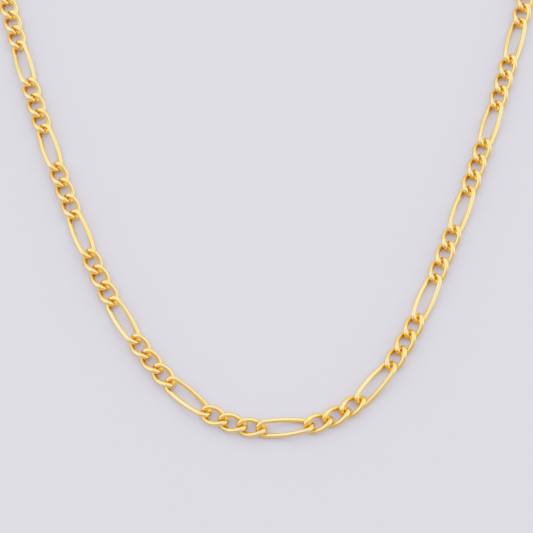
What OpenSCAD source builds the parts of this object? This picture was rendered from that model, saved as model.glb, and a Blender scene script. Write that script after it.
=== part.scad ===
// Figaro chain necklace: three short curb links, then one long link, all the way round a closed loop.
// The loop lies flat on a surface at Z = 0. The chain's bottom is towards -Y, and its clasp towards +Y.

/* [Wire] */
// Diameter of the wire that every link is bent from
wire_d = 0.7; // [0.5:0.02:0.76]
// Bare space left in front of and behind a wire where two links hook together
hook_play = 0.26; // [0.16:0.02:0.32]
// Bare height left where one link's wire crosses over the next one's
crossing_play = 0.36; // [0.34:0.02:0.5]

/* [Links] */
// Outside width of a link at its middle
link_w = 2.9; // [2.7:0.1:3.6]
// How much further a short link's sides bow out than a plain round bend would
side_bow = 0.12; // [0.06:0.02:0.24]
// The same for a long link, whose sides are nearly straight
long_bow = 0.04; // [0.02:0.02:0.12]
// Length that a short link adds to the chain
short_pitch = 2.8; // [2.6:0.1:4]
// Length that a long link adds to the chain
long_pitch = 6.8; // [5:0.2:10]

/* [Pattern] */
// Short links between one long link and the next
shorts_in_row = 3; // [2:1:4]
// Long links on each side of the one at the bottom of the loop
longs_each_side = 14; // [10:1:16]

/* [Clasp] */
// Length of the clasp's body
clasp_l = 6.4; // [5:0.2:10]
// Width of the clasp's body
clasp_w = 3.4; // [3:0.1:5]
// Radius of the clasp's two eyes, to the middle of their wire
eye_r = 0.94; // [0.9:0.02:1.2]
// Bare space between a link's end and the clasp's body
eye_play = 0.16; // [0.12:0.02:0.4]
// Thickness of the clasp's body along its two long edges
clasp_edge_t = 0.9; // [0.6:0.05:1.2]

/* [Hidden] */

// How finely the links are faceted: sides of the wire, and steps along a quarter of a link
WIRE_SIDES = 5;
END_STEPS = 2;
SHORT_SIDE_STEPS = 1;
LONG_SIDE_STEPS = 2;
// Steps between two points of the route
ROUTE_STEPS = 24;
// Smoothness of the clasp's round faces
CLASP_FN = 48;

// The route of the chain, seen from above, from the bottom of the loop round by the right. The
// curve runs smoothly past these points, close inside them. It is scaled to the chain's real
// length, so the loop closes whatever the sizes above are.
ROUTE = [
    [3, -0.5], [12.5, 2.5], [19.5, 11], [25, 23], [30.5, 37], [35.5, 51.5], [40, 66], [45.5, 87],
    [49.5, 109.5], [50.5, 132.5], [46, 154.5], [32.5, 174], [11.5, 185.5], [-11.5, 185.5],
    [-32.5, 174], [-46, 154.5], [-50.5, 132.5], [-49.5, 109.5], [-45.5, 87], [-40, 66],
    [-34.5, 48.5], [-29, 33.5], [-24, 21.5], [-17, 10], [-8, 1]
];

wire_r = wire_d / 2;
// Half the width of a link, and the radius of its end bends, both to the middle of the wire
half_w = (link_w - wire_d) / 2;
function end_r(bow) = half_w - bow;
// How far a link's end reaches past the junction that it shares with the next link
reach = (wire_d + hook_play) / 2;

// The wire of one link crosses the wire of the next right at the junction, and each is lifted
// clear of the other there by half of the height that both need
function crossing_w(bow) = sqrt(pow(end_r(bow), 2) - pow(end_r(bow) - reach, 2));
function crossing_twist(bow) = asin((wire_d + crossing_play) / (2 * crossing_w(bow)));

// Links are counted from the clasp down the left side, round the bottom and up the right side
row = shorts_in_row + 1;
link_count = row * (2 * longs_each_side + 1) + shorts_in_row;
middle_link = (link_count - 1) / 2;
function is_long(i) = i % row == shorts_in_row;
function longs_before(i) = floor(i / row);
function pitch(i) = is_long(i) ? long_pitch : short_pitch;
function start_of(i) = longs_before(i) * long_pitch + (i - longs_before(i)) * short_pitch;
chain_l = start_of(link_count);

// Distance between the clasp's two junctions: its body, and a link's end in front of each face
eye_gap = reach + wire_r + eye_play;
clasp_span = clasp_l + 2 * eye_gap;
necklace_l = chain_l + clasp_span;

// A smooth curve drawn towards four of the route's points at a time
function wrap(i, n) = ((i % n) + n) % n;
function blend(a, b, c, d, t) =
    (pow(1 - t, 3) * a + (3 * pow(t, 3) - 6 * pow(t, 2) + 4) * b
    + (3 * (t + pow(t, 2) - pow(t, 3)) + 1) * c + pow(t, 3) * d) / 6;
route_n = len(ROUTE);
route_pts = [
    for (i = [0 : route_n - 1], k = [0 : ROUTE_STEPS - 1])
        blend(ROUTE[wrap(i - 1, route_n)], ROUTE[i], ROUTE[wrap(i + 1, route_n)],
            ROUTE[wrap(i + 2, route_n)], k / ROUTE_STEPS)
];
sample_n = len(route_pts);
function route_pt(i) = route_pts[i % sample_n];
// Length of the route from its start to each of its points, as a running sum
route_at = [
    for (i = 0, s = 0; i <= sample_n; s = s + norm(route_pt(i + 1) - route_pt(i)), i = i + 1) s
];
route_l = route_at[sample_n];
scale_up = necklace_l / route_l;
x_at = [for (i = [0 : sample_n]) [route_at[i], route_pt(i).x]];
y_at = [for (i = [0 : sample_n]) [route_at[i], route_pt(i).y]];

// The point at a distance along the chain, counted from the clasp
function on_route(s) =
    let (turned = s - start_of(middle_link) - pitch(middle_link) / 2 + necklace_l,
        left = turned - necklace_l * floor(turned / necklace_l))
    scale_up * [lookup(left / scale_up, x_at), lookup(left / scale_up, y_at)];

// Turns a point about Z by an angle given as a direction, and moves it
function placed(p, dir, at) =
    [p.x * dir.x - p.y * dir.y + at.x, p.x * dir.y + p.y * dir.x + at.y, p.z + at.z];

// One quarter of a link's flat outline, from the middle of a side to the middle of an end:
// a wide arc along the side, then the end bend, which meet without a kink
function quarter(half_l, bow, side_steps) =
    let (end_r = end_r(bow),
        bend_x = half_l - end_r,
        side_r = (pow(bend_x, 2) + pow(half_w, 2) - pow(end_r, 2)) / (2 * bow),
        lean = atan(bend_x / (side_r - half_w)))
    [
        for (i = [0 : side_steps - 1])
            let (a = lean * i / side_steps)
            [side_r * sin(a), side_r * (cos(a) - 1) + half_w],
        for (i = [0 : END_STEPS])
            let (a = lean + (90 - lean) * i / END_STEPS)
            [bend_x + end_r * sin(a), end_r * cos(a)]
    ];

// The whole outline, from four mirrored quarters
function outline(half_l, bow, side_steps) =
    let (q = quarter(half_l, bow, side_steps), n = len(q) - 1)
    [
        for (i = [0 : n - 1]) q[i],
        for (i = [n : -1 : 1]) [q[i].x, -q[i].y],
        for (i = [0 : n - 1]) [-q[i].x, -q[i].y],
        for (i = [n : -1 : 1]) [-q[i].x, q[i].y]
    ];

// The angle by which a link is twisted out of flat at a distance x from its middle
function twist_at(x, half_l, bow) = -crossing_twist(bow) * x / (half_l - reach);

// The outline, twisted evenly from one end to the other
function twisted(half_l, bow, side_steps) = [
    for (p = outline(half_l, bow, side_steps))
        let (a = twist_at(p.x, half_l, bow))
        [p.x, p.y * cos(a), p.y * sin(a)]
];

function unit(v) = v / norm(v);

// Corners of the wire round a twisted outline, ring after ring
function wire_pts(half_l, bow, side_steps) =
    let (path = twisted(half_l, bow, side_steps), n = len(path))
    [
        for (i = [0 : n - 1])
            let (along = unit(path[(i + 1) % n] - path[wrap(i - 1, n)]),
                a = twist_at(path[i].x, half_l, bow),
                outward = unit(cross([0, -sin(a), cos(a)], along)),
                upward = cross(along, outward))
            for (k = [0 : WIRE_SIDES - 1])
                let (turn = 360 * k / WIRE_SIDES)
                path[i] + wire_r * (cos(turn) * outward + sin(turn) * upward)
    ];

function wire_faces(rings, first) = [
    for (i = [0 : rings - 1], k = [0 : WIRE_SIDES - 1])
        let (a = first + i * WIRE_SIDES, b = first + (i + 1) % rings * WIRE_SIDES,
            m = (k + 1) % WIRE_SIDES)
        each [[a + k, b + k, b + m], [a + k, b + m, a + m]]
];

short_half_l = short_pitch / 2 + reach;
long_half_l = long_pitch / 2 + reach;
short_pts = wire_pts(short_half_l, side_bow, SHORT_SIDE_STEPS);
long_pts = wire_pts(long_half_l, long_bow, LONG_SIDE_STEPS);
function link_pts(i) = is_long(i) ? long_pts : short_pts;
function corners_before(i) =
    longs_before(i) * len(long_pts) + (i - longs_before(i)) * len(short_pts);

// Height of the chain's middle plane, so that its lowest wires rest on the surface
mid_z = max([for (p = concat(short_pts, long_pts)) -p.z]);

// The loop is moved so that its middle is over the origin
low_corner = scale_up * [min([for (p = route_pts) p.x]), min([for (p = route_pts) p.y])];
high_corner = scale_up * [max([for (p = route_pts) p.x]), max([for (p = route_pts) p.y])];
loop_middle = (low_corner + high_corner) / 2;
function on_table(s) = let (p = on_route(s) - loop_middle) [p.x, p.y, mid_z];

// Links first to last as one mesh of separate links
module links(first, last) {
    points = [
        for (i = [first : last])
            let (from = on_table(start_of(i)), to = on_table(start_of(i + 1)))
            for (p = link_pts(i)) placed(p, unit(to - from), (from + to) / 2)
    ];
    faces = [
        for (i = [first : last])
            each wire_faces(len(link_pts(i)) / WIRE_SIDES, corners_before(i) - corners_before(first))
    ];
    polyhedron(points, faces);
}

module chain_left() {
    color("gold") links(0, middle_link - 1);
}

module chain_right() {
    color("gold") links(middle_link, link_count - 1);
}

// An eye leans across the link that it holds, until its wire touches the surface
module eye(side) {
    lean = asin((mid_z - wire_r) / eye_r);
    rotate([-side * lean, 0, 0])
        translate([side * (clasp_span / 2 + reach - eye_r), 0, 0])
            rotate_extrude($fn = CLASP_FN) translate([eye_r, 0]) circle(r = wire_r);
}

// A flat bar with a domed face above and below, and bowed ends
module clasp_body() {
    rise = mid_z - clasp_edge_t / 2;
    dome_r = (pow(clasp_w / 2, 2) + pow(rise, 2)) / (2 * rise);
    past = 1;
    module dome(face) {
        translate([0, 0, face * (mid_z - dome_r)])
            rotate([0, 90, 0])
                cylinder(r = dome_r, h = clasp_l + past, center = true, $fn = CLASP_FN);
    }
    intersection() {
        cube([clasp_l + past, clasp_w, 2 * mid_z + past], center = true);
        cylinder(r = clasp_l / 2, h = 2 * mid_z + past, center = true, $fn = CLASP_FN);
        dome(1);
        dome(-1);
    }
}

module clasp() {
    from = on_table(chain_l);
    to = on_table(necklace_l);
    color("gold") translate((from + to) / 2)
        rotate([0, 0, atan2(to.y - from.y, to.x - from.x)]) {
            clasp_body();
            eye(1);
            eye(-1);
        }
}

chain_left();
chain_right();
clasp();
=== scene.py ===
# %% [markdown]
# # A figaro chain necklace
#
# This lesson dresses the solids of a fine gold chain: three short links, then one long link, all
# the way round. The solids are the frame. They give each link its place and its size, but their
# wire has only five sides. Blender makes that wire round and pressed as the real one is, gives it
# the polish of worn gold, and lights it as a jeweller's table is lit.

# %% Load the solids
import math

import bpy
import numpy as np
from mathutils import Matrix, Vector


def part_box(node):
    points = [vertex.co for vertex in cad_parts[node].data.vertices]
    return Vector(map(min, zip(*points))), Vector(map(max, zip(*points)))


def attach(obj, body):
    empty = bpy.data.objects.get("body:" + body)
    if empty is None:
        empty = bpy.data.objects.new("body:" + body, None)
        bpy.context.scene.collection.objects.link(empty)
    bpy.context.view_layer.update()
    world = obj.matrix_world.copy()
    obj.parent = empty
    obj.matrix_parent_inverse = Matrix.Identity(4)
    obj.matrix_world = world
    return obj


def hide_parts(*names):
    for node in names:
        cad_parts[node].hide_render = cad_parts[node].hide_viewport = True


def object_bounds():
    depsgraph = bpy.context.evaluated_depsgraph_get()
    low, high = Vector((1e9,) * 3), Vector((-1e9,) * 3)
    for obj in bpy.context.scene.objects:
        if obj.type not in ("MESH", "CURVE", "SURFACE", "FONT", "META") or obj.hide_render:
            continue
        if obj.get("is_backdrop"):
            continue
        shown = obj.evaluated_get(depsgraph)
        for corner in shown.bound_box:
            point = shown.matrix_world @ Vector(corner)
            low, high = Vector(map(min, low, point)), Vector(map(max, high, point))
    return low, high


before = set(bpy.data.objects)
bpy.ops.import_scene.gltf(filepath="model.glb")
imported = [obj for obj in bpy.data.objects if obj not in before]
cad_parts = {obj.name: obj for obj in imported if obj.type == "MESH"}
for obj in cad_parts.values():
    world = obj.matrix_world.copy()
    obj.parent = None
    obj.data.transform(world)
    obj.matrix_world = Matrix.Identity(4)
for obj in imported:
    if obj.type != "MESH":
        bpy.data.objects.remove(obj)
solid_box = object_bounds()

MM = 0.001


def in_mm(lengths):
    """Lengths in metres as rounded millimetres."""
    return [round(float(length) / MM, 3) for length in lengths]


print("solids:", sorted(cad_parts))
print("lowest corner, mm:", in_mm(solid_box[0]), "highest corner, mm:", in_mm(solid_box[1]))

# %% [markdown]
# ## The camera
#
# The chain lies on a table, and we look down on its front curve from a little in front of straight
# above. A camera could be placed by eye and nudged until the picture fits. It is surer to name the
# point that it looks at, how far away it is and how far it leans from straight down, because each
# of the three has one plain effect on the picture. A long lens keeps the two strands of the chain
# the same width from the front of the picture to the back.

# %% Place the camera
LENS_MM = 105
FILM_MM = 36
CAMERA_LEAN = math.radians(21)
CAMERA_DISTANCE = 230 * MM
NEAREST_SEEN = 10 * MM
# The middle of the picture lies this far behind the chain's lowest point, and this far right of
# the loop's middle
LOOK_BEHIND_FRONT = 26 * MM
LOOK_RIGHT = 0.07 * MM

middle_z = (solid_box[0].z + solid_box[1].z) / 2
look_at = Vector((LOOK_RIGHT, solid_box[0].y + LOOK_BEHIND_FRONT, middle_z))
towards_camera = Vector((0, -math.sin(CAMERA_LEAN), math.cos(CAMERA_LEAN)))

camera_data = bpy.data.cameras.new("camera")
camera_data.lens = LENS_MM
camera_data.sensor_width = FILM_MM
camera_data.clip_start = NEAREST_SEEN
camera = bpy.data.objects.new("camera", camera_data)
camera.location = look_at + CAMERA_DISTANCE * towards_camera
camera.rotation_euler = (CAMERA_LEAN, 0, 0)
bpy.context.scene.collection.objects.link(camera)
bpy.context.scene.camera = camera
print("camera at, mm:", in_mm(camera.location))

# %% [markdown]
# ## Where each link lies
#
# On the real chain every link is a closed ring of wire, free of its neighbours. The solids hold
# them the same way, as many loose pieces in one mesh. To rebuild a link we need its middle, its
# direction and its size. We could repeat the sums that laid the chain out, but then two files
# would have to agree for ever. Measuring the solids is safer: we group the corners that edges
# join, and the long axis of each group is the link's direction.

# %% Group the corners of the solids, link by link
# Corners are one corner where they agree to this many decimals of a metre
DECIMALS = 7


def loose_links(node):
    """The corners of every loose link in a node, as one array for each link."""
    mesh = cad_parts[node].data
    corners = np.array([v.co[:] for v in mesh.vertices])
    corners, same = np.unique(corners.round(DECIMALS), axis=0, return_inverse=True)
    edges = same.ravel()[np.array([e.vertices[:] for e in mesh.edges])]
    # Each corner takes the lowest number among its neighbours, until a link has only one number
    group = np.arange(len(corners))
    while True:
        lowest = group.copy()
        np.minimum.at(lowest, edges[:, 0], group[edges[:, 1]])
        np.minimum.at(lowest, edges[:, 1], group[edges[:, 0]])
        if (lowest == group).all():
            break
        group = lowest
    return [corners[group == g] for g in np.unique(group)]


links = {node: loose_links(node) for node in ("chain_left", "chain_right")}
print("links:", {node: len(found) for node, found in links.items()})


# %% Measure the place and size of each link
def link_place(corners):
    """Middle, direction and (length, width, height) of one link."""
    # The box gives the middle in height. On the table the mean does, however the link is turned
    middle = (corners.min(0) + corners.max(0)) / 2
    middle[:2] = corners[:, :2].mean(0)
    flat = corners[:, :2] - middle[:2]
    _, axes = np.linalg.eigh(flat.T @ flat)
    along = axes[:, -1]
    across = np.array([-along[1], along[0]])
    length, width = 2 * abs(flat @ np.array([along, across]).T).max(0)
    return middle, along, np.array([length, width, np.ptp(corners[:, 2])])


places = {node: [link_place(c) for c in found] for node, found in links.items()}
sizes = np.array([size for found in places.values() for _, _, size in found])
# A link longer than this is a long one
halfway = (sizes[:, 0].min() + sizes[:, 0].max()) / 2
link_size = {
    "short": np.median(sizes[sizes[:, 0] < halfway], axis=0),
    "long": np.median(sizes[sizes[:, 0] > halfway], axis=0),
}
for kind, size in link_size.items():
    print(kind, "link, length, width and height in mm:", in_mm(size))

# %% [markdown]
# ## The shape of a link
#
# A chain maker winds wire round an oval bar and saws the coil into rings. Each ring has two round
# ends and two sides. The sides of a figaro chain aren't quite straight: they bow out a little. A
# bezier curve could be pulled to this shape by hand. Two arcs that meet without a kink say it
# more exactly, and their radii follow from the length and width that we measured.

# %% Draw one quarter of a link, then mirror it
WIRE = 0.7 * MM
# How much further the sides bow out than a plain round bend would
SIDE_BOW = {"short": 0.12 * MM, "long": 0.04 * MM}


def quarter(half_l, half_w, bow, side_steps, end_steps):
    """From the middle of a side to the middle of an end, as x, y points."""
    end_r = half_w - bow
    bend_x = half_l - end_r
    side_r = (bend_x**2 + half_w**2 - end_r**2) / (2 * bow)
    lean = math.atan(bend_x / (side_r - half_w))
    side = np.linspace(0, lean, side_steps, endpoint=False)
    end = np.linspace(lean, math.pi / 2, end_steps + 1)
    side_line = np.stack([side_r * np.sin(side), side_r * (np.cos(side) - 1) + half_w], 1)
    end_line = np.stack([bend_x + end_r * np.sin(end), end_r * np.cos(end)], 1)
    return np.concatenate([side_line, end_line])


def outline(*sizes):
    """All the way round the middle line of the wire, from the sizes of a quarter."""
    q = quarter(*sizes)
    right = np.concatenate([q[:-1], q[:0:-1] * [1, -1]])
    return np.concatenate([right, -right])


# %% [markdown]
# ## The wire of a link
#
# All the links are bent from one drawn wire, 0.7 mm thick. A curve with a round bevel could draw
# it, but its section would be a perfect circle, and rolling the chain leaves the wire slightly
# squarer than that. So we write the section ourselves, as one ring of corners that is carried
# along the line. The power in the formula is 2 for a circle and higher for a squarer shape.

# %% Draw the section of the wire
WIRE_RING = 20
SQUARENESS = 2.15

ring_turn = np.arange(WIRE_RING) * 2 * math.pi / WIRE_RING
circle = np.stack([np.cos(ring_turn), np.sin(ring_turn)], 1)
section = WIRE / 2 * np.sign(circle) * abs(circle) ** (2 / SQUARENESS)
print("the wire has", WIRE_RING, "sides and is", in_mm([np.ptp(section[:, 0])])[0], "mm thick")

# %% [markdown]
# ## Twisting and pressing the link
#
# A curb link isn't flat. The maker twists the linked chain until every link leans against the
# next and the whole chain lies in one plane. So each ring is a gentle screw: one end leans one
# way, the other end leans the other way. Then the rollers press the highest wires, which leaves a
# small flat where one link crosses over the next. A tight bend also squeezes the wire on its
# inner side, where it swells a little and all but fills the gap in the hook. A Simple Deform
# modifier could twist a mesh, but a formula keeps the wire's thickness true, and it lets us choose
# the twist that, once pressed, makes our link exactly as tall as its solid.


# %% Sweep the section along the twisted line
# How far the wire swells into the middle of an end bend
BEND_SWELL = 0.07 * MM


def sweep(line, twist, swell=0):
    """Corners of the wire, twisted by that angle per metre, and the length along its line."""
    angle = -twist * line[:, 0]
    path = np.stack([line[:, 0], line[:, 1] * np.cos(angle), line[:, 1] * np.sin(angle)], 1)
    along = np.roll(path, -1, 0) - np.roll(path, 1, 0)
    along /= np.linalg.norm(along, axis=1)[:, None]
    plane = np.stack([0 * angle, -np.sin(angle), np.cos(angle)], 1)
    outward = np.cross(plane, along)
    outward /= np.linalg.norm(outward, axis=1)[:, None]
    upward = np.cross(along, outward)
    # The swell is full in the middle of the bend, and gone a wire's thickness to either side
    at_end = np.clip(1 - (line[:, 1] / WIRE) ** 2, 0, 1)
    inward = np.clip(-circle[:, :1], 0, 1) * swell * at_end[:, None, None]
    side = section[:, :1] - inward
    corners = path[:, None] + side * outward[:, None] + section[:, 1:] * upward[:, None]
    steps = np.linalg.norm(np.roll(path, -1, 0) - path, axis=1)
    return corners, np.concatenate([[0], np.cumsum(steps)])


# %% Press the tallest wires flat
# How much each face of the chain loses, and the height over which a flat rounds off
PRESSED = 0.04 * MM
PRESS_EDGE = 0.03 * MM


def press(corners, half_height):
    """Bends what stands above the rollers' gap into it, with a soft edge."""
    height = abs(corners[..., 2])
    start = half_height - PRESS_EDGE
    over = np.maximum(height - start, 0)
    pressed = np.minimum(height, start) + PRESS_EDGE * np.tanh(over / PRESS_EDGE)
    corners[..., 2] = np.sign(corners[..., 2]) * pressed
    return corners


# %% Find the twist that fits the solid
END_STEPS = 10
SIDE_STEPS = {"short": 4, "long": 8}
HALVINGS = 40


def make_link(kind):
    """Corners of one link, ring after ring, and the length along its wire at each ring."""
    length, width, height = link_size[kind]
    half_l, half_w = (length - WIRE) / 2, (width - WIRE) / 2
    line = outline(half_l, half_w, SIDE_BOW[kind], SIDE_STEPS[kind], END_STEPS)
    # The right twist lies between none and a quarter turn at each end, halved again and again
    low, high = 0, math.pi / 2 / half_l
    for _ in range(HALVINGS):
        twist = (low + high) / 2
        corners, along = sweep(line, twist, BEND_SWELL)
        if np.ptp(corners[..., 2]) > height + 2 * PRESSED:
            high = twist
        else:
            low = twist
    print(kind, "link leans", round(math.degrees(twist * half_l), 1), "degrees at each end")
    return press(corners, height / 2), along


link_shape = {kind: make_link(kind) for kind in link_size}

# %% [markdown]
# ## Where the gold runs deep
#
# Look into the hook where two links meet, and the gold turns from lemon to amber. Light bounces
# there from gold to gold, and each bounce tints it again. The renderer does the bounces by itself,
# and we paint shade on top: the base colour turns amber in the hollows of the hooks and on the
# inner side of every wire. The polishing brush doesn't reach there either, so the wire is also made
# duller there. We note at each corner how far inside a bend it is, or how low it lies near a hook,
# and let the finish read that note. An ambient occlusion node could find the hollows too, but it
# is slow, and it would take the table for one.


# %% Note how deep in a bend each corner is
# How deep the inner side of the straight wire counts, next to 1 in a bend
SIDE_DEPTH = 0.6
# A hook's hollow reaches this far from the link's end, and fades slower with a higher power
HOOK_REACH = 2 * WIRE
HOOK_FADE = 4
# Wire counts as low below this share of the way from the link's middle to its top
LOW_SHARE = 0.5


# The finish paints shade by this note as an amber base colour, and also makes the wire rougher by
# it
def bend_depth(kind):
    """1 on the inner side of a link's ends and on what lies low there, 0 on what stands free."""
    corners, _ = link_shape[kind]
    to_end = abs(corners[..., 0]).max() - abs(corners[..., 0])
    near_end = np.clip(1 - to_end / HOOK_REACH, 0, 1) ** (1 / HOOK_FADE)
    height = corners[..., 2]
    low = np.clip(LOW_SHARE - height / height.max(), 0, 1)
    inner = np.clip(-circle[:, 0], 0, 1)
    return np.maximum((SIDE_DEPTH + (1 - SIDE_DEPTH) * near_end) * inner, near_end * low)


link_depth = {kind: bend_depth(kind) for kind in link_size}

# %% [markdown]
# ## From one link to a chain
#
# There are two ways to fill the chain: an instance of one link at every place, or one joined mesh.
# Instances are lighter, but half a chain is one piece here, and a joined mesh can carry a little
# note for every link, such as its own tone of gold. So we copy the corners to each place, and
# store the notes, and how far along the wire each corner is, next to them.


# %% Join rings of corners into faces
def ring_faces(rings, sides):
    """Quads round a closed wire, which all face outward."""
    r, s = np.meshgrid(np.arange(rings), np.arange(sides), indexing="ij")
    r_next, s_next = (r + 1) % rings, (s + 1) % sides
    order = [(r, s), (r, s_next), (r_next, s_next), (r_next, s)]
    return np.stack([a * sides + b for a, b in order], -1).reshape(-1, 4)


def ring_uv(along, sides, around):
    """Millimetres along and round the wire, for each corner of each quad."""
    r, s = np.meshgrid(np.arange(len(along) - 1), np.arange(sides), indexing="ij")
    order = [(r, s), (r, s + 1), (r + 1, s + 1), (r + 1, s)]
    places = np.stack([[along[a], around * b / sides] for a, b in order])
    return places.transpose(2, 3, 0, 1).reshape(-1, 2) / MM


# %% Join the parts into one piece
def mesh_piece(name, parts):
    """One smooth object from parts, each with its corners, faces, uv, tone and depth."""
    first = np.cumsum([0] + [len(part["corners"]) for part in parts])
    corners = np.concatenate([part["corners"] for part in parts])
    faces = np.concatenate([part["faces"] + start for part, start in zip(parts, first)])
    mesh = bpy.data.meshes.new(name)
    mesh.from_pydata(corners.tolist(), [], faces.tolist())
    mesh.shade_smooth()
    uv = np.concatenate([part["uv"] for part in parts])
    mesh.uv_layers.new(name="wire").data.foreach_set("uv", uv.ravel())
    for note in ("tone", "depth"):
        values = [np.broadcast_to(part[note], len(part["corners"])) for part in parts]
        values = np.concatenate(values)
        mesh.attributes.new(note, "FLOAT", "POINT").data.foreach_set("value", values)
    piece = bpy.data.objects.new(name, mesh)
    bpy.context.scene.collection.objects.link(piece)
    print(name, "has", len(parts), "parts and", 2 * len(faces), "triangles")
    return piece


# %% Copy the links to their places
TONE_SEED = 3

chance = np.random.default_rng(TONE_SEED)


def turned_to(along):
    """The turn that brings a part's length from X to a direction on the table."""
    return np.array([[along[0], along[1], 0], [-along[1], along[0], 0], [0, 0, 1]])


def placed_link(middle, along, size):
    """One link as a part, turned and moved to its place."""
    kind = "long" if size[0] > halfway else "short"
    corners, length = link_shape[kind]
    return {
        "corners": corners.reshape(-1, 3) @ turned_to(along) + middle,
        "faces": ring_faces(len(corners), WIRE_RING),
        "uv": ring_uv(length, WIRE_RING, math.pi * WIRE),
        "tone": chance.random(),
        "depth": link_depth[kind].ravel(),
    }


left_links = mesh_piece("left_links", [placed_link(*place) for place in places["chain_left"]])
right_links = mesh_piece("right_links", [placed_link(*place) for place in places["chain_right"]])

# %% [markdown]
# ## The clasp
#
# The photo doesn't show how the necklace closes, so its clasp is one plain bar, domed above and
# below, with a closed eye at each end that holds the last link. The solid has the right shape but
# hard edges, and no jeweller leaves those: they would catch on cloth. A Bevel modifier on the solid
# would stumble over its thin facets. So we rebuild the bar as two domed sheets joined along their
# rim, and let the modifier round the rim. The eyes are rings of wire like the links, untwisted,
# tilted until they rest on the table and pressed as the links are.

# %% Measure the clasp's place
# The bar's length, its width and its thickness along the edges, then the eyes to their wire's
# middle
CLASP_BAR = 6.4 * MM
CLASP_WIDTH = 3.4 * MM
CLASP_EDGE = 0.9 * MM
EYE_RADIUS = 0.94 * MM
# The clasp's tone of gold, halfway between the palest and the warmest link
CLASP_TONE = 0.5

clasp_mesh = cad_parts["clasp"].data
face_middle = np.array([f.center[:] for f in clasp_mesh.polygons])
face_area = np.array([f.area for f in clasp_mesh.polygons])
clasp_low, clasp_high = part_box("clasp")
clasp_middle = np.array((clasp_low + clasp_high) / 2)
clasp_flat = face_middle[:, :2] - clasp_middle[:2]
_, clasp_axes = np.linalg.eigh(clasp_flat.T @ (clasp_flat * face_area[:, None]))
clasp_along = clasp_axes[:, -1]
clasp_points = np.array([v.co[:2] for v in clasp_mesh.vertices]) - clasp_middle[:2]
clasp_length = np.ptp(clasp_points @ clasp_along)
print("clasp lies at, mm:", in_mm(clasp_middle), "and is", in_mm([clasp_length])[0], "mm long")


# %% Draw the domed bar
BAR_ROWS = 24
BAR_COLUMNS = 12


def domed_bar():
    """A bar between two domes, with bowed ends, as one part."""
    top = (clasp_high.z - clasp_low.z) / 2
    rise = top - CLASP_EDGE / 2
    dome_r = ((CLASP_WIDTH / 2) ** 2 + rise**2) / (2 * rise)
    v, u = np.meshgrid(np.linspace(-1, 1, BAR_COLUMNS + 1), np.linspace(-1, 1, BAR_ROWS + 1))
    y = v * CLASP_WIDTH / 2
    x = u * np.sqrt((CLASP_BAR / 2) ** 2 - y**2)
    z = top - dome_r + np.sqrt(dome_r**2 - y**2)
    sheet = np.arange(x.size).reshape(x.shape)
    quads = np.stack([sheet[:-1, :-1], sheet[1:, :-1], sheet[1:, 1:], sheet[:-1, 1:]], -1)
    quads = quads.reshape(-1, 4)
    rim = np.concatenate([sheet[0, :-1], sheet[:-1, -1], sheet[-1, :0:-1], sheet[:0:-1, 0]])
    rim_next = np.roll(rim, -1)
    wall = np.stack([rim, rim_next, rim_next + x.size, rim + x.size], 1)
    faces = np.concatenate([quads, quads[:, ::-1] + x.size, wall])
    corners = np.concatenate([np.stack([x, y, side * z], -1).reshape(-1, 3) for side in (1, -1)])
    uv = corners[faces.ravel(), :2] / MM
    return {"corners": corners, "faces": faces, "uv": uv, "tone": CLASP_TONE, "depth": 0}


# %% Draw an eye
EYE_STEPS = 64


def eye(side):
    """A closed ring of wire at one end of the bar, tilted until it rests on the table."""
    turn = np.arange(EYE_STEPS) * 2 * math.pi / EYE_STEPS
    line = EYE_RADIUS * np.stack([np.sin(turn), np.cos(turn)], 1)
    corners, along = sweep(line, 0)
    top = (clasp_high.z - clasp_low.z) / 2
    lean = -side * math.asin((top - WIRE / 2) / EYE_RADIUS)
    across, up = [0, math.cos(lean), math.sin(lean)], [0, -math.sin(lean), math.cos(lean)]
    tilt = np.array([[1, 0, 0], across, up])
    middle = np.array([side * (clasp_length / 2 - EYE_RADIUS - WIRE / 2), 0, 0])
    return {
        "corners": press(corners.reshape(-1, 3) @ tilt + middle, top),
        "faces": ring_faces(EYE_STEPS, WIRE_RING),
        "uv": ring_uv(along, WIRE_RING, math.pi * WIRE),
        "tone": CLASP_TONE,
        "depth": 0,
    }


# %% Put the clasp together
RIM_ROUNDING = 0.16 * MM
RIM_STEPS = 4
# Edges that turn by more than this are rounded: the two rims and the bar's four corners
RIM_ANGLE = math.radians(40)

clasp_parts = [domed_bar(), eye(1), eye(-1)]
clasp_turn = turned_to(clasp_along)
for part in clasp_parts:
    part["corners"] = part["corners"] @ clasp_turn + clasp_middle
plain_clasp = mesh_piece("plain_clasp", clasp_parts)
rounding = plain_clasp.modifiers.new("rounded rim", "BEVEL")
rounding.width = RIM_ROUNDING
rounding.segments = RIM_STEPS
rounding.limit_method = "ANGLE"
rounding.angle_limit = RIM_ANGLE

# %% [markdown]
# ## Seating the pieces
#
# Each new piece stands for one node of the frame, and it already lies where that node's solids
# lie. It could be parented to the node by hand. Here each piece is parented to the root in one
# call and its node's solids are hidden, so the piece goes wherever the chain goes.

# %% Seat the pieces on the frame
stands_for = {"chain_left": left_links, "chain_right": right_links, "clasp": plain_clasp}
for node, piece in stands_for.items():
    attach(piece, "root")
    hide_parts(node)
    print(piece.name, "stands for", node)

# %% [markdown]
# ## Polished gold
#
# The chain is yellow gold with a bright polish. A metal has no colour of its own apart from its
# reflections, so its base colour is the tint that it gives to white light. Nothing that is worn
# stays a perfect mirror: drawing the wire leaves fine lines along it, skin and cloth leave softer
# patches, and each link comes out of its bath of gold a shade paler or deeper than the next. An
# image of gold would show its pixels on wire this thin, so all of it is worked out by noise.

# %% Start the finish
# A metal pales at a glancing angle, but the edges of this wire stay golden in the photo
EDGE_GOLD = (1.0, 0.7, 0.32, 1)

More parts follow.
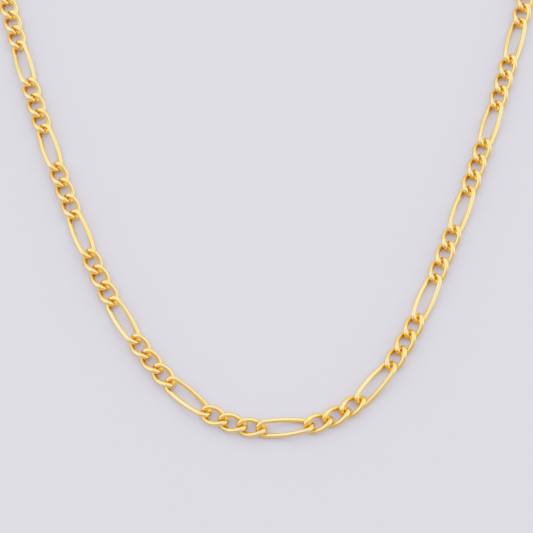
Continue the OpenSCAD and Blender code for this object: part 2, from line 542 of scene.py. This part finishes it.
gold = bpy.data.materials.new("polished_gold")
gold.use_nodes = True
nodes, joins = gold.node_tree.nodes, gold.node_tree.links
shader = nodes["Principled BSDF"]
shader.inputs["Metallic"].default_value = 1
shader.inputs["Specular Tint"].default_value = EDGE_GOLD


# %% Make noise, mix colours and stretch a span
def noise(source, socket, scale, detail):
    """A noise texture that reads its place from a socket of another node."""
    made = nodes.new("ShaderNodeTexNoise")
    made.inputs["Scale"].default_value = scale
    made.inputs["Detail"].default_value = detail
    joins.new(source.outputs[socket], made.inputs["Vector"])
    return made


def mixed(low, high, factor):
    """Two colours or sockets mixed by a socket."""
    made = nodes.new("ShaderNodeMix")
    made.data_type = "RGBA"
    for name, colour in (("A", low), ("B", high)):
        if isinstance(colour, tuple):
            made.inputs[name].default_value = colour
        else:
            joins.new(colour, made.inputs[name])
    joins.new(factor, made.inputs["Factor"])
    return made.outputs["Result"]


def ranged(value, low, high, start=0.0, end=1.0):
    """A socket's span from start to end, stretched to span low to high."""
    made = nodes.new("ShaderNodeMapRange")
    for name, number in (("From Min", start), ("From Max", end), ("To Min", low), ("To Max", high)):
        made.inputs[name].default_value = number
    joins.new(value, made.inputs["Value"])
    return made.outputs["Result"]


# %% Tint the gold
LEMON_GOLD = (1.0, 0.605, 0.215, 1)
WARM_GOLD = (1.0, 0.565, 0.165, 1)
# A link is as warm as it gets where its tone times its patch of noise reaches this
WARM_FROM = 0.6
# Painted shade: the amber base colour in the hollows of the hooks and on the inner side of the wire
AMBER_SHADE = (1.0, 0.63, 0.05, 1)
PATCH_SCALE = 900
PATCH_DETAIL = 3

place = nodes.new("ShaderNodeTexCoord")
patches = noise(place, "Object", PATCH_SCALE, PATCH_DETAIL)
tone = nodes.new("ShaderNodeAttribute")
tone.attribute_name = "tone"
depth = nodes.new("ShaderNodeAttribute")
depth.attribute_name = "depth"

bath = nodes.new("ShaderNodeMath")
bath.operation = "MULTIPLY"
joins.new(tone.outputs["Fac"], bath.inputs[0])
joins.new(patches.outputs["Fac"], bath.inputs[1])
surface = mixed(LEMON_GOLD, WARM_GOLD, ranged(bath.outputs["Value"], 0, 1, 0, WARM_FROM))
# Painted shade: the base colour turns amber as far as the depth note reaches
painted_shade_colour = mixed(surface, AMBER_SHADE, depth.outputs["Fac"])
joins.new(painted_shade_colour, shader.inputs["Base Color"])

# %% Soften the polish in patches, and more where the brush doesn't reach
MIRROR = 0.07
SOFT = 0.16
# How much rougher the deepest places are
UNPOLISHED = 0.26
# The patches of noise mostly lie between these two values
PATCH_LOW = 0.35
PATCH_HIGH = 0.7

polish = nodes.new("ShaderNodeMath")
polish.operation = "ADD"
worn = ranged(patches.outputs["Fac"], MIRROR, SOFT, PATCH_LOW, PATCH_HIGH)
joins.new(worn, polish.inputs[0])
joins.new(ranged(depth.outputs["Fac"], 0, UNPOLISHED), polish.inputs[1])
joins.new(polish.outputs["Value"], shader.inputs["Roughness"])

# %% Draw fine lines along the wire, over slow dents
# Few changes in a millimetre along the wire, and many in a millimetre round it
LINE_STRETCH = (0.8, 14, 1)
LINE_DETAIL = 2
LINE_DEPTH = 0.0006 * MM
DENT_SCALE = 1600
DENT_DETAIL = 1
DENT_DEPTH = 0.012 * MM

wire_place = nodes.new("ShaderNodeUVMap")
wire_place.uv_map = "wire"
stretch = nodes.new("ShaderNodeMapping")
stretch.inputs["Scale"].default_value = LINE_STRETCH
joins.new(wire_place.outputs["UV"], stretch.inputs["Vector"])
lines = noise(stretch, "Vector", 1, LINE_DETAIL)
dents = noise(place, "Object", DENT_SCALE, DENT_DETAIL)


def bump(height, distance, below=None):
    """Relief of that height in metres, on top of an earlier relief."""
    made = nodes.new("ShaderNodeBump")
    made.inputs["Distance"].default_value = distance
    joins.new(height, made.inputs["Height"])
    if below:
        joins.new(below, made.inputs["Normal"])
    return made.outputs["Normal"]


relief = bump(lines.outputs["Fac"], LINE_DEPTH, bump(dents.outputs["Fac"], DENT_DEPTH))
joins.new(relief, shader.inputs["Normal"])
for piece in stands_for.values():
    piece.data.materials.append(gold)
print("polished gold has", len(nodes), "nodes")

# %% [markdown]
# ## The table
#
# The chain lies on a plain pale surface, which is matt, so that it shows no reflection of the
# lights. A backdrop that curves up behind would suit a thing that stands. We look down at this one,
# so one plane will do, wide enough to run past the edge of the picture from every side.

# %% Lay the table
TABLE_SIZE = 6
TABLE_COLOUR = (0.565, 0.556, 0.632, 1)
TABLE_ROUGHNESS = 0.8
TABLE_SHEEN = 0.2

bpy.ops.mesh.primitive_plane_add(size=TABLE_SIZE, location=(0, 0, 0))
table = bpy.context.object
table.name = "table"
table_paint = bpy.data.materials.new("table_paint")
table_paint.use_nodes = True
table_shader = table_paint.node_tree.nodes["Principled BSDF"]
table_shader.inputs["Base Color"].default_value = TABLE_COLOUR
table_shader.inputs["Roughness"].default_value = TABLE_ROUGHNESS
table_shader.inputs["Specular IOR Level"].default_value = TABLE_SHEEN
table.data.materials.append(table_paint)
table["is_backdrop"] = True

# %% [markdown]
# ## Light
#
# Gold shows what stands round it, so lighting a chain is furnishing the room that it mirrors. A
# white tent gives the even glow and the faint shadows. It glows less in front, where it is open
# for the camera, and the side of each wire that faces us turns amber. Soft panels to the left, to
# the right and behind draw the bright lines that run along every wire. One big lamp would be
# simpler, but it would throw one hard shadow and leave half of each wire dark.

# %% Hang the white tent
TENT_COLOUR = (0.97, 0.97, 1.0, 1)
TENT_STRENGTH = 1
FRONT_STRENGTH = 0.34
# The glow grows from straight in front, at -1, to a little behind straight up
FADE_FROM = -1
FADE_TO = 0.3

world = bpy.data.worlds.new("tent")
world.use_nodes = True
sky, ties = world.node_tree.nodes, world.node_tree.links
tent = sky["Background"]
tent.inputs["Color"].default_value = TENT_COLOUR
direction = sky.new("ShaderNodeTexCoord")
axes = sky.new("ShaderNodeSeparateXYZ")
fade = sky.new("ShaderNodeMapRange")
fade.interpolation_type = "SMOOTHSTEP"
fade.inputs["From Min"].default_value = FADE_FROM
fade.inputs["From Max"].default_value = FADE_TO
fade.inputs["To Min"].default_value = FRONT_STRENGTH
fade.inputs["To Max"].default_value = TENT_STRENGTH
ties.new(direction.outputs["Generated"], axes.inputs["Vector"])
ties.new(axes.outputs["Y"], fade.inputs["Value"])
ties.new(fade.outputs["Result"], tent.inputs["Strength"])
bpy.context.scene.world = world
print("the tent glows", FRONT_STRENGTH, "in front and", TENT_STRENGTH, "behind")

# %% Set up the soft panels
PANEL_DISTANCE = 1.2


def soft_panel(name, turn, lean, width, height, brightness):
    """A panel whose turn goes round the table and whose lean is from straight up, in degrees."""
    light = bpy.data.lights.new(name, "AREA")
    light.shape = "RECTANGLE"
    light.size, light.size_y = width, height
    # The power grows with the area, so that the panel's glow depends on its brightness alone
    light.energy = brightness * math.pi * width * height
    panel = bpy.data.objects.new(name, light)
    turn, lean = math.radians(turn), math.radians(lean)
    outward = math.sin(lean)
    towards = Vector((math.sin(turn) * outward, math.cos(turn) * outward, math.cos(lean)))
    panel.location = PANEL_DISTANCE * towards
    panel.rotation_euler = (-towards).to_track_quat("-Z", "Y").to_euler()
    panel.visible_camera = False
    bpy.context.scene.collection.objects.link(panel)
    print(name, "lights", round(width * height, 2), "square metres at", brightness)


soft_panel("back_panel", turn=0, lean=38, width=1.2, height=0.45, brightness=0.7)
soft_panel("left_panel", turn=-90, lean=56, width=1.1, height=2.0, brightness=0.6)
soft_panel("right_panel", turn=90, lean=55, width=1.0, height=2.0, brightness=0.6)

# %% [markdown]
# ## The camera's response
#
# A camera doesn't answer to light in a straight line. Each further lamp adds less to what is
# already bright, so shadows look light, and a highlight on gold pales to cream instead of turning
# flat yellow. Blender's AgX view does this as well, but it also greys strong colours, and amber
# would suffer most. So we keep the plain Standard view and bend its curve ourselves: what light
# leaves unfilled shrinks by the same share with every further step of light.

# %% Bend the film's curve
FILM_SPEED = 2.2
FILM_WHITE = 2.5
CURVE_STEPS = 12
# A view has a curve each for red, green and blue, and then one for all three together
ALL_COLOURS = 3
TEST_LIGHT = 0.5


def film(light):
    """How bright the film shows that much light, from 0 to 1."""
    return (1 - math.exp(-FILM_SPEED * light)) / (1 - math.exp(-FILM_SPEED * FILM_WHITE))


view = bpy.context.scene.view_settings
view.view_transform = "Standard"
view.use_curve_mapping = True
view.curve_mapping.white_level = [FILM_WHITE] * 3
film_curve = view.curve_mapping.curves[ALL_COLOURS]
for step in range(1, CURVE_STEPS):
    # The steps lie closer together in the shadows, where the curve is steepest
    share = (step / CURVE_STEPS) ** 2
    film_curve.points.new(share, film(share * FILM_WHITE))
view.curve_mapping.update()
print("the film shows", TEST_LIGHT, "of white light as", round(film(TEST_LIGHT), 2))

# %% [markdown]
# ## Sizes
#
# The dressed chain has to be as large as its solids, or whoever fits a pendant to it would be
# misled by the picture. We could trust the sums, but measuring both boxes and writing them down
# side by side shows any slip at once.

# %% Write the sizes and finish
boxes = {"solids": solid_box, "dressed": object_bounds()}
for name, (low, high) in boxes.items():
    print(name, "box, mm:", in_mm(low), in_mm(high))
